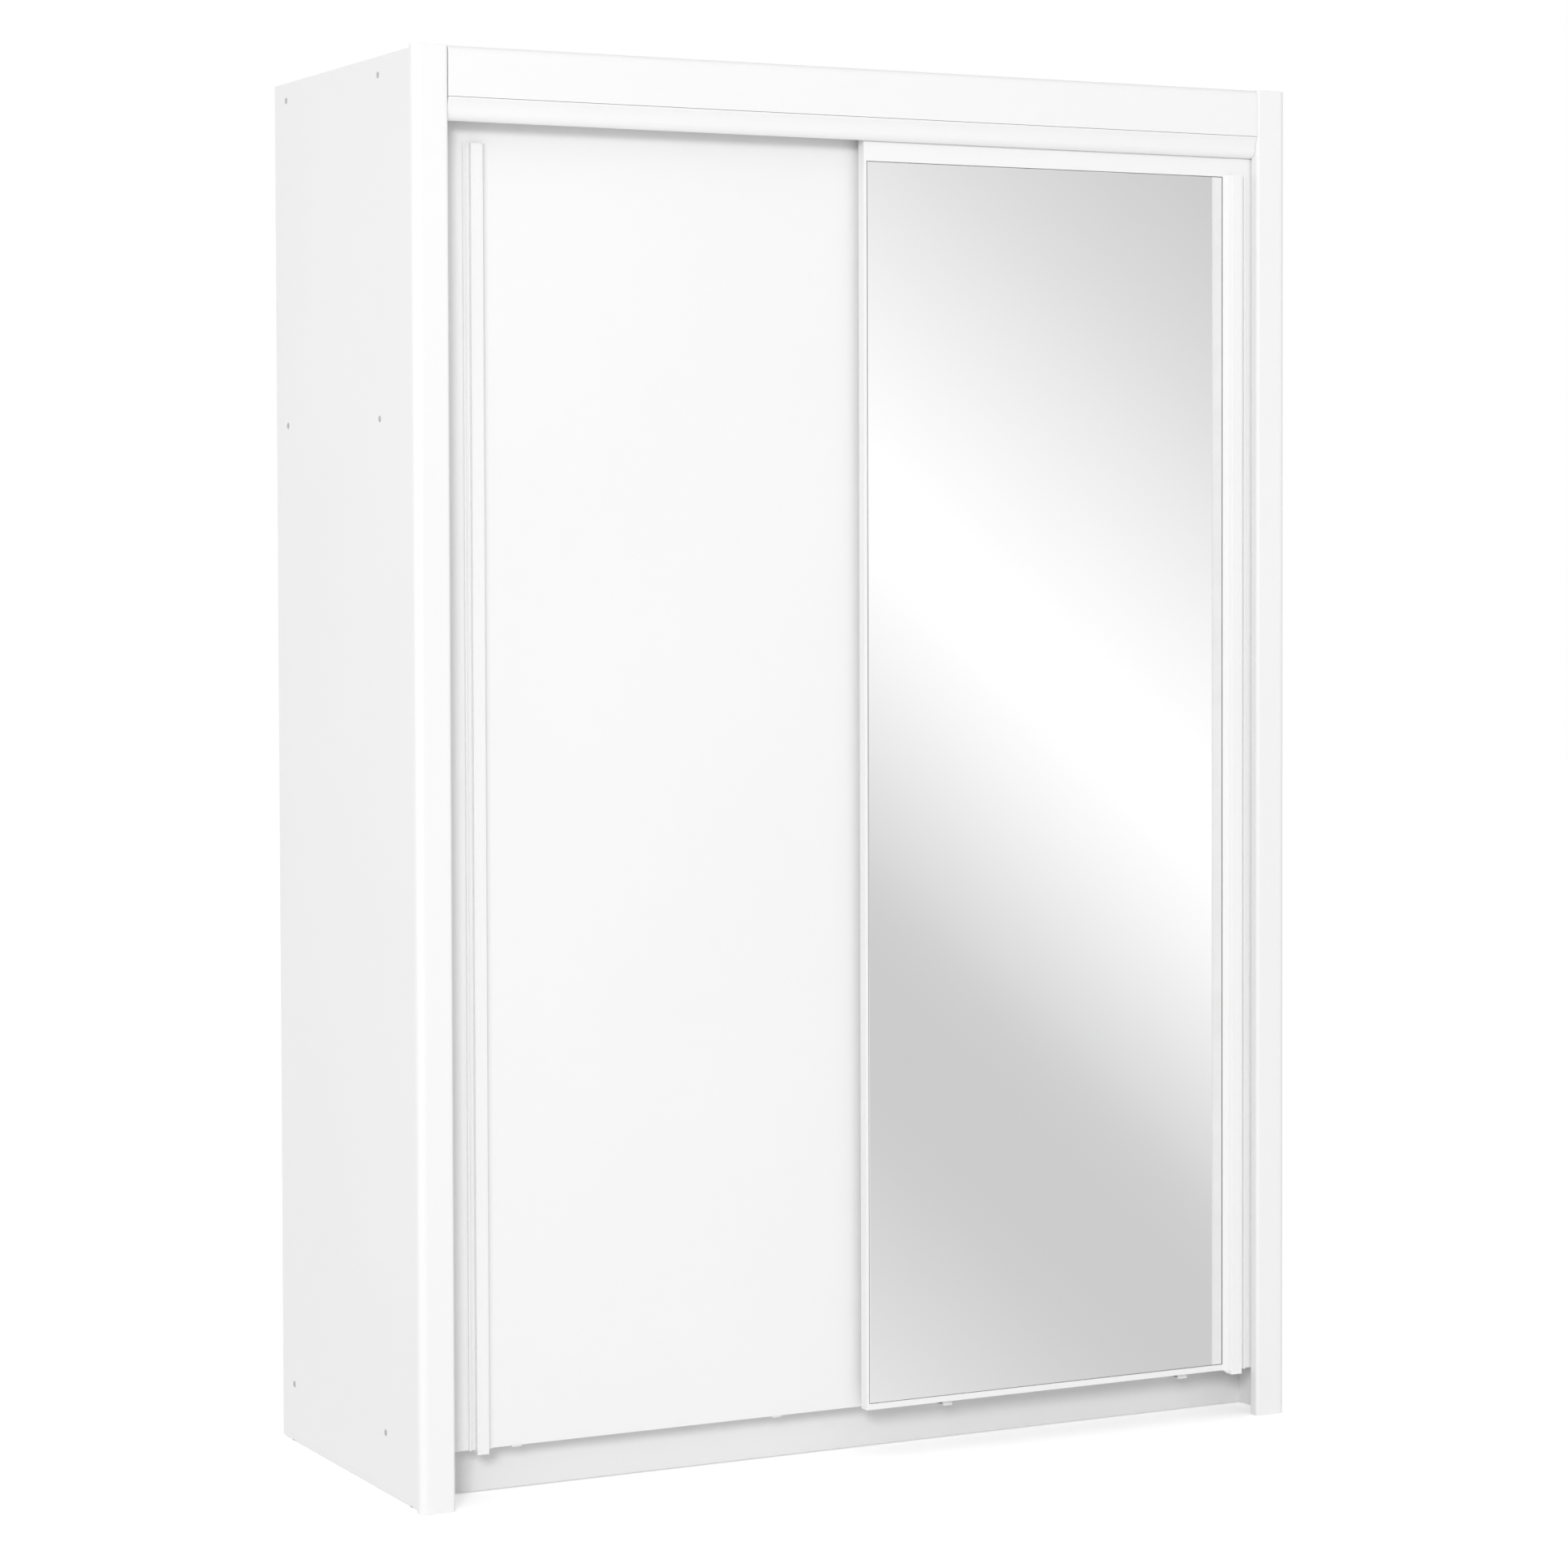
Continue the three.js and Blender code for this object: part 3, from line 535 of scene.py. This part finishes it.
# %% Make the side panels
REBATE = (8.0, 6.0)
for side, sign in (("left", -1), ("right", 1)):
    low, high = limits(f"side_panel_{side}")
    outer, inner = (low.x, high.x) if sign < 0 else (high.x, low.x)
    outline = [
        (outer, low.y),
        (inner, low.y),
        (inner, high.y - REBATE[1]),
        (inner + sign * REBATE[0], high.y - REBATE[1]),
        (inner + sign * REBATE[0], high.y),
        (outer, high.y),
    ]
    board = ease(prism(outline, low.z, high.z, upright), 0.5)
    piece(f"side_board_{side}", board, "carcass", "melamine_board", f"side_panel_{side}")
print("side panels stand from", round(low.z, 1), "to", round(high.z, 1), "mm")

# %% Make the pilasters
OUTER_ROUND = 12.0
INNER_ROUND = 5.0
for side, sign in (("left", -1), ("right", 1)):
    low, high = limits(f"pilaster_{side}")
    outer, inner = (-low.x, -high.x) if sign < 0 else (high.x, low.x)
    outline = [(inner, high.y)]
    outline += arc((inner + INNER_ROUND, low.y + INNER_ROUND), INNER_ROUND, 180, 270, 8)
    outline += arc((outer - OUTER_ROUND, low.y + OUTER_ROUND), OUTER_ROUND, 270, 360, 14)
    outline += [(outer, high.y)]
    outline = [(sign * x, y) for x, y in outline]
    column = ease(prism(outline, low.z, high.z, upright), 0.6)
    piece(f"pilaster_{side}_column", column, "carcass", "front_lacquer", f"pilaster_{side}")
print("pilasters are", round(high.x - low.x), "x", round(high.y - low.y), "mm in section")

# %% Make the header
TOP_ROUND = 10.0
low, high = limits("header_fascia")
outline = [(high.y, low.z), (high.y, high.z)]
outline += arc((low.y + TOP_ROUND, high.z - TOP_ROUND), TOP_ROUND, 90, 180, 12)
outline += [(low.y, low.z + 0.5), (low.y + 0.15, low.z + 0.15), (low.y + 0.5, low.z)]
fascia = ease(prism(outline, low.x, high.x, lengthwise), 0.3)
piece("header_fascia_board", fascia, "carcass", "front_lacquer", "header_fascia")

HOLLOW = 7.0
HOLLOW_EDGE_Z = 2036.0
LIP_DEPTH = 15.5
low, high = limits("header_cove")
hollow_edge = (low.y + HOLLOW, HOLLOW_EDGE_Z)
lip = (low.y + LIP_DEPTH, low.z)
outline = [(high.y, low.z), (high.y, high.z)]
outline += [(low.y + 0.5, high.z), (low.y + 0.15, high.z - 0.15), (low.y, high.z - 0.5)]
outline += [(low.y, high.z - 2.0)]
outline += bend((low.y, high.z - 2.0), (low.y + 5.0, high.z - 10.0), hollow_edge, 12)
outline += bend(hollow_edge, (low.y + HOLLOW + 1.5, low.z + 4.0), lip, 12)
cove = ease(prism(outline, low.x, high.x, lengthwise), 0.3)
piece("header_cove_moulding", cove, "carcass", "front_lacquer", "header_cove")
print("header is", round(high.x - low.x), "mm long")

# %% [markdown]
# ## Doors
# The plain door is a flat board with eased edges. The mirror door has a shallow bed cut into its
# front, and the glass lies in it with a hair of space all round, which reads as a thin dark line.
# The bed is made by hand from a ring of faces, its walls and its floor; a boolean cut would leave
# long thin triangles. The pane gets a ground arris on its edges, as cut glass does.

# %% Make the plain door's panel
low, high = limits("plain_door_panel")
outline = [(low.x, low.y), (high.x, low.y), (high.x, high.y), (low.x, high.y)]
slab = ease(prism(outline, low.z, high.z, upright), 0.9)
piece("plain_door_board", slab, "plain_door", "front_lacquer", "plain_door_panel")
print("plain door is", round(high.x - low.x), "mm wide")

# %% Make the mirror door's panel with its bed
BED_GAP = 1.0
BED_DEPTH = 4.25
pane_low, pane_high = limits("mirror_pane")
low, high = limits("mirror_door_panel")


def corners(x0, x1, z0, z1, y):
    return [Vector(p) * MM for p in ((x0, y, z0), (x1, y, z0), (x1, y, z1), (x0, y, z1))]


bed_sides = (pane_low.x - BED_GAP, pane_high.x + BED_GAP, pane_low.z - BED_GAP, pane_high.z + BED_GAP)
rings = [
    corners(low.x, high.x, low.z, high.z, high.y),
    corners(low.x, high.x, low.z, high.z, low.y),
    corners(*bed_sides, low.y),
    corners(*bed_sides, low.y + BED_DEPTH),
]
panel = bmesh.new()
loops = [[panel.verts.new(p) for p in ring] for ring in rings]
panel.faces.new(loops[0])
panel.faces.new(loops[-1])
for near, far in zip(loops, loops[1:]):
    for i in range(4):
        j = (i + 1) % 4
        panel.faces.new((near[i], near[j], far[j], far[i]))
bmesh.ops.recalc_face_normals(panel, faces=panel.faces)
ease(panel, 0.6)
piece("mirror_door_board", panel, "mirror_door", "front_lacquer", "mirror_door_panel")

outline = [
    (pane_low.x, pane_low.y),
    (pane_high.x, pane_low.y),
    (pane_high.x, pane_high.y),
    (pane_low.x, pane_high.y),
]
glass = ease(prism(outline, pane_low.z, pane_high.z, upright), 0.7, 1)
piece("mirror_glass_pane", glass, "mirror_door", "mirror_glass", "mirror_pane")
print("mirror is", round(pane_high.x - pane_low.x), "x", round(pane_high.z - pane_low.z), "mm")

# %% [markdown]
# Beside the handle a slim white strip with a raised line along each side lies on the glass. It is a
# painted reflection: it stands where the glass shows the handle's image. A thin black strip fills the
# gap between it and the handle as painted shade, to keep that gap dark. Both are thin sections laid
# on the glass, so they are drawn like the other profiles, from outline and length.

# %% Lay the painted reflection strip and the painted shade strip beside the handle
# painted reflection: a white strip on the glass that stands in for the handle's image in the mirror
REFLECTION_STRIP_WIDTH = 18.0
REFLECTION_STRIP_SHORTER = 0.5  # at each end of the pane
# painted shade: a black strip that keeps the gap between the glass and the handle dark
GAP_SHADE_WIDTH = 1.6
GAP_SHADE_HEIGHT = 0.15
gap_shade_end = pane_high.x + BED_GAP + 0.3
gap_shade_start = gap_shade_end - GAP_SHADE_WIDTH
reflection_strip_end = gap_shade_start - 0.1
face = pane_low.y
gap_shade_top = face - GAP_SHADE_HEIGHT
reflection_strip_side = [(0.0, 0.0), (0.0, 0.7), (0.3, 0.9), (1.2, 0.9), (1.7, 0.45)]
outline = [(reflection_strip_end - REFLECTION_STRIP_WIDTH + u, face - out) for u, out in reflection_strip_side]
outline += [(reflection_strip_end - u, face - out) for u, out in reversed(reflection_strip_side)]
reflection_strip = prism(outline, pane_low.z + REFLECTION_STRIP_SHORTER, pane_high.z - REFLECTION_STRIP_SHORTER, upright)
# the white strip is a painted reflection of the handle, not a part that holds the glass
piece("mirror_painted_reflection_strip", reflection_strip, "mirror_door", "joint_plastic")
outline = [(gap_shade_start, face), (gap_shade_start, gap_shade_top), (gap_shade_end, gap_shade_top), (gap_shade_end, face)]
gap_shade_strip = prism(outline, pane_low.z, pane_high.z, upright)
# the black strip is painted shade in the gap, not an adhesive
piece("mirror_gap_painted_shade", gap_shade_strip, "mirror_door", "buffer_rubber")
print("trim is", REFLECTION_STRIP_WIDTH, "mm wide, the bead", GAP_SHADE_WIDTH)

# %% [markdown]
# ## Handles
# A handle is one extruded profile: a thin lip, a groove for the fingertips, a flat bar to pull on
# and a hollow curve that runs down to the door. At the foot the bar hangs a little below the door.
# The plain door's handle is cut square there, while on the mirror door's the hollow curve sweeps
# down to the bar's end. The profile is therefore built as a stack of sections: the long straight
# part takes two, and a swept tail takes a handful in which the curve shrinks towards the bar.

# %% Draw the handle's section
LIP, LIP_HEIGHT, GROOVE_FLOOR = 3.0, 5.0, 0.8
BAR_START, BAR_END, BAR_HEIGHT, CURVE_END = 10.0, 29.5, 10.0, 41.0
DOOR_FOOT = limits("plain_door_panel")[0].z

groove_side = [(0.0, 0.0), (0.0, LIP_HEIGHT - 0.6)]
groove_side += arc((0.6, LIP_HEIGHT - 0.6), 0.6, 180, 90, 4)
groove_side += arc((LIP - 0.6, LIP_HEIGHT - 0.6), 0.6, 90, 0, 4)
groove_side += arc((LIP + 0.8, GROOVE_FLOOR + 0.8), 0.8, 180, 270, 4)
groove_side += arc((BAR_START - 0.8, GROOVE_FLOOR + 0.8), 0.8, 270, 360, 4)
bar_side = [(BAR_START, BAR_HEIGHT - 1.0)]
bar_side += arc((BAR_START + 1.0, BAR_HEIGHT - 1.0), 1.0, 180, 90, 5)[1:]
bar_side += [(BAR_END - 1.5, BAR_HEIGHT)]
bar_side += bend((BAR_END - 1.5, BAR_HEIGHT), (BAR_END, BAR_HEIGHT), (BAR_END + 1.0, BAR_HEIGHT - 3.0), 6)
bar_side += bend((BAR_END + 1.0, BAR_HEIGHT - 3.0), (BAR_END + 3.0, 0.6), (CURVE_END, 0.12), 14)
bar_side += [(CURVE_END, 0.0), (BAR_START, 0.0)]
print("handle section has", len(groove_side) + len(bar_side), "points")

# %% Stack the sections of a handle
SWEEP_STEPS = 8
BARE_BAR = 0.02  # the share of the hollow curve that is left beside the bar alone


def handle_shape(node, lip_x, inward, door_face, swept):
    """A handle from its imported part; swept says whether the hollow curve runs into the tail."""
    low, high = limits(node)

    def ring(shape, points, z, reach=1.0):
        made = []
        for u, out in points:
            drawn_in = BAR_END + (u - BAR_END) * reach if u > BAR_END else u
            made.append(shape.verts.new(Vector((lip_x + inward * drawn_in, door_face - out, z)) * MM))
        return made

    def skin(shape, upper, lower):
        for i in range(len(upper)):
            j = (i + 1) % len(upper)
            shape.faces.new((upper[i], upper[j], lower[j], lower[i]))

    shape = bmesh.new()
    whole = groove_side + bar_side
    top = ring(shape, whole, high.z)
    foot = ring(shape, whole, DOOR_FOOT)
    shape.faces.new(top)
    skin(shape, top, foot)
    split = len(groove_side)
    shape.faces.new(foot[:split] + [foot[-1]])
    above = foot[split - 1 :]
    tail = groove_side[-1:] + bar_side
    if swept:
        reaches = [1.0 - i / SWEEP_STEPS for i in range(1, SWEEP_STEPS + 1)]
        stations = [(max(r, BARE_BAR), r * r * (3.0 - 2.0 * r)) for r in reaches]
    else:
        stations = [(BARE_BAR, 1.0), (BARE_BAR, 0.0)]
    for reach, rise in stations:
        below = ring(shape, tail, low.z + (DOOR_FOOT - low.z) * rise, reach)
        skin(shape, above, below)
        above = below
    shape.faces.new(above)
    bmesh.ops.recalc_face_normals(shape, faces=shape.faces)
    return shape


low, high = limits("plain_door_handle")
plain_grip = handle_shape("plain_door_handle", low.x, 1, limits("plain_door_panel")[0].y, False)
piece("plain_door_grip", plain_grip, "plain_door", "handle_profile", "plain_door_handle")
low, high = limits("mirror_door_handle")
mirror_grip = handle_shape("mirror_door_handle", high.x, -1, limits("mirror_door_panel")[0].y, True)
piece("mirror_door_grip", mirror_grip, "mirror_door", "handle_profile", "mirror_door_handle")
print("handles are", round(high.z - low.z), "mm long")

# %% [markdown]
# ## Screw caps
# Small round plastic caps hide the heads of the screws that hold the top, the fixed shelf and the
# bottom. A cap is turned from a short profile: a low dome with a shallow dish in the middle and a
# rim that presses on the board.

# %% Turn the caps
CAP_DISH = ((0.0, 0.40), (1.6, 0.42), (2.4, 0.62), (3.2, 0.74))
CAP_RIM = ((4.0, 0.72), (4.6, 0.55), (5.0, 0.2), (5.0, 0.0), (0.0, 0.0))
cap_names = sorted(name for name in NODES if name.startswith("screw_cap_"))
for name in cap_names:
    low, high = limits(name)
    sign = 1 if low.x > 0 else -1
    base = low.x if sign > 0 else high.x
    middle = (low + high) / 2

    def on_side(a, b, t, base=base, sign=sign, middle=middle):
        return Vector((base + sign * t, middle.y + a, middle.z + b)) * MM

    cap = turned(CAP_DISH + CAP_RIM, 24, on_side)
    piece(name.replace("screw_cap", "cap"), cap, "carcass", "cap_plastic", name)
print(len(cap_names), "caps made")

# %% [markdown]
# ## Wheels and hangers
# Each door hangs from two grooved nylon wheels that run on the track's bead. A wheel is turned
# with a rounded groove and a hub that stands a little proud. Its hanger is a steel angle, screwed
# to the door's top edge, with the axle riveted through its leg. Wheels ride on their own bodies,
# so they really turn when a door slides.

# %% Turn the wheels
WHEEL_RADIUS, TREAD_RADIUS, HALF_WIDTH, BORE = 14.0, 11.5, 4.0, 3.15


def turned_ring(profile, steps, place):
    """A ring turned from a closed profile of (radius, height) that stays off the axis."""
    shape = bmesh.new()
    rings = [circle(shape, radius, height, steps, place) for radius, height in profile]
    for low, high in zip(rings, rings[1:] + rings[:1]):
        for i in range(steps):
            j = (i + 1) % steps
            shape.faces.new((low[i], low[j], high[j], high[i]))
    bmesh.ops.recalc_face_normals(shape, faces=shape.faces)
    return shape


half_rim = [(TREAD_RADIUS, 1.2), (TREAD_RADIUS + 0.15, 1.6)]
half_rim += [(WHEEL_RADIUS - 0.2, 2.75), (WHEEL_RADIUS, 3.0), (WHEEL_RADIUS, 3.6)]
half_rim += [(WHEEL_RADIUS - 0.4, HALF_WIDTH), (11.2, HALF_WIDTH), (10.8, 3.2)]
half_rim += [(6.8, 3.2), (6.4, HALF_WIDTH), (BORE + 0.3, HALF_WIDTH), (BORE, HALF_WIDTH - 0.3)]
rim = [(radius, -out) for radius, out in reversed(half_rim)] + half_rim
wheel_names = sorted(name for name in NODES if "_door_wheel_" in name)
for name in wheel_names:
    low, high = limits(name)
    middle = (low + high) / 2

    def about_y(a, b, t, middle=middle):
        return Vector((middle.x + a, middle.y + t, middle.z + b)) * MM

    body = name.replace("_door_wheel_", "_wheel_")
    piece(name.replace("door_wheel", "roller"), turned_ring(rim, 48, about_y), body, "wheel_nylon", name)
print(len(wheel_names), "wheels turned")

# %% Fold the hangers
SHEET = 2.5
SCREW_SLOT = ((0.0, 1.3), (0.9, 1.28), (1.0, 0.7), (1.3, 0.7), (1.4, 1.2))
SCREW_DOME = ((2.6, 1.0), (3.3, 0.4), (3.4, 0.0), (0.0, 0.0))
RIVET = ((0.0, 0.0), (2.4, 0.0), (3.0, 0.4), (3.0, 13.0), (0.0, 13.0))
hanger_names = sorted(name for name in NODES if "_door_hanger_" in name)
for name in hanger_names:
    low, high = limits(name)
    middle = (low + high) / 2
    door = name.split("_door_")[0]
    wheel_low, wheel_high = limits(name.replace("hanger", "wheel"))
    axle = (wheel_low + wheel_high) / 2
    pad_top = low.z + SHEET
    leg = high.y - SHEET
    outline = [(low.y, low.z), (high.y - 1.5, low.z), (high.y, low.z + 1.5), (high.y, high.z)]
    outline += [(leg, high.z), (leg, pad_top), (low.y, pad_top)]
    angle = ease(prism(outline, low.x, high.x, lengthwise), 0.4, 2)

    def axle_place(a, b, t, axle=axle, start=axle.y - HALF_WIDTH - 1.5):
        return Vector((axle.x + a, start + t, axle.z + b)) * MM

    parts = [angle, turned(RIVET, 32, axle_place)]
    for offset in (-13.0, 13.0):

        def screw_place(a, b, t, x=middle.x + offset, y=low.y + 6.0, z=pad_top):
            return Vector((x + a, y + b, z + t)) * MM

        parts.append(turned(SCREW_SLOT + SCREW_DOME, 20, screw_place))
    piece(f"{name}_bracket", parts, f"{door}_door", "zinc_steel", name)
print(len(hanger_names), "hangers folded from", SHEET, "mm sheet")

# %% [markdown]
# ## Hanging rail
# The rail in the left bay is an oval chromed tube that lies in two open cups. Its section is two
# half circles joined by straight flanks, drawn once for the outside and once for the inside.

# %% Make the hanging rail and its cups
RAIL_WALL = 1.2


def oval(centre, half_width, straight, steps=12):
    top = arc((centre[0], centre[1] + straight), half_width, 0, 180, steps)
    foot = arc((centre[0], centre[1] - straight), half_width, 180, 360, steps)
    return top + foot


def tube(outer, inner, start, stop, place):
    shape = bmesh.new()
    rows = []
    for outline, t in ((outer, start), (outer, stop), (inner, stop), (inner, start)):
        rows.append([shape.verts.new(place(a, b, t)) for a, b in outline])
    for near, far in zip(rows, rows[1:] + rows[:1]):
        for i in range(len(near)):
            j = (i + 1) % len(near)
            shape.faces.new((near[i], near[j], far[j], far[i]))
    bmesh.ops.recalc_face_normals(shape, faces=shape.faces)
    return shape


low, high = limits("hanging_rail")
middle = (low + high) / 2
half_width = (high.y - low.y) / 2
straight = (high.z - low.z) / 2 - half_width
centre = (middle.y, middle.z)
rail = tube(
    oval(centre, half_width, straight),
    oval(centre, half_width - RAIL_WALL, straight),
    low.x,
    high.x,
    lengthwise,
)
piece("hanging_rail_tube", rail, "carcass", "rail_chrome", "hanging_rail")
for side in ("left", "right"):
    low, high = limits(f"rail_cup_{side}")
    outer = (high.y - low.y) / 2
    foot = (middle.y, middle.z - straight)
    outline = [(middle.y - outer, high.z)] + arc(foot, outer, 180, 360, 20) + [(middle.y + outer, high.z)]
    outline += [(middle.y + outer - 3.0, high.z)] + arc(foot, outer - 3.0, 360, 180, 20)
    outline += [(middle.y - outer + 3.0, high.z)]
    cup = ease(prism(outline, low.x, high.x, lengthwise), 0.5, 2)
    piece(f"rail_cup_{side}_socket", cup, "carcass", "rail_chrome", f"rail_cup_{side}")
print("rail is", round(half_width * 2), "x", round((half_width + straight) * 2), "mm in section")

# %% [markdown]
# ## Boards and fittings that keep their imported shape
# The inner boards, the tracks and the small fittings already have their true shape in the frame,
# so they stay. Each gets the finish of its slot, and three modifiers that leave the base mesh as
# it is: a weld to join the split corners, a bevel to ease the edges and weighted normals.

# %% Dress the carried parts
def dress(name, slot, width):
    part = NODES[name]
    part.data.materials.clear()
    part.data.materials.append(FINISHES[slot])
    weld = part.modifiers.new("joined_corners", "WELD")
    weld.merge_threshold = 0.02 * MM
    eased = part.modifiers.new("eased_edges", "BEVEL")
    eased.width = width * MM
    eased.segments = 2
    eased.limit_method = "ANGLE"
    eased.angle_limit = math.radians(50)
    part.modifiers.new("flat_faces", "WEIGHTED_NORMAL")


INNER_BOARDS = ("adjustable_shelf_1", "adjustable_shelf_2", "adjustable_shelf_3")
INNER_BOARDS += ("hat_shelf_left", "hat_shelf_right", "top_panel", "bottom_panel", "centre_partition")
INNER_BOARDS += ("plinth_front", "plinth_rear", "plinth_cross_rail")
CARRIED = {
    "melamine_board": (INNER_BOARDS, 0.6),
    "back_hardboard": (("back_panel_left", "back_panel_right"), 0.3),
    "joint_plastic": (
        ("back_joint_strip",) + tuple(sorted(name for name in NODES if "_door_guide_" in name)),
        0.2,
    ),
    "track_aluminium": (("upper_track", "lower_guide_rail"), 0.25),
    "buffer_rubber": (("track_buffer_plain", "track_buffer_mirror"), 1.2),
    "glide_plastic": (tuple(sorted(name for name in NODES if name.startswith("glide_"))), 0.4),
}
for slot, (names, width) in CARRIED.items():
    for name in names:
        dress(name, slot, width)
print(sum(len(names) for names, _ in CARRIED.values()), "packed parts dressed")
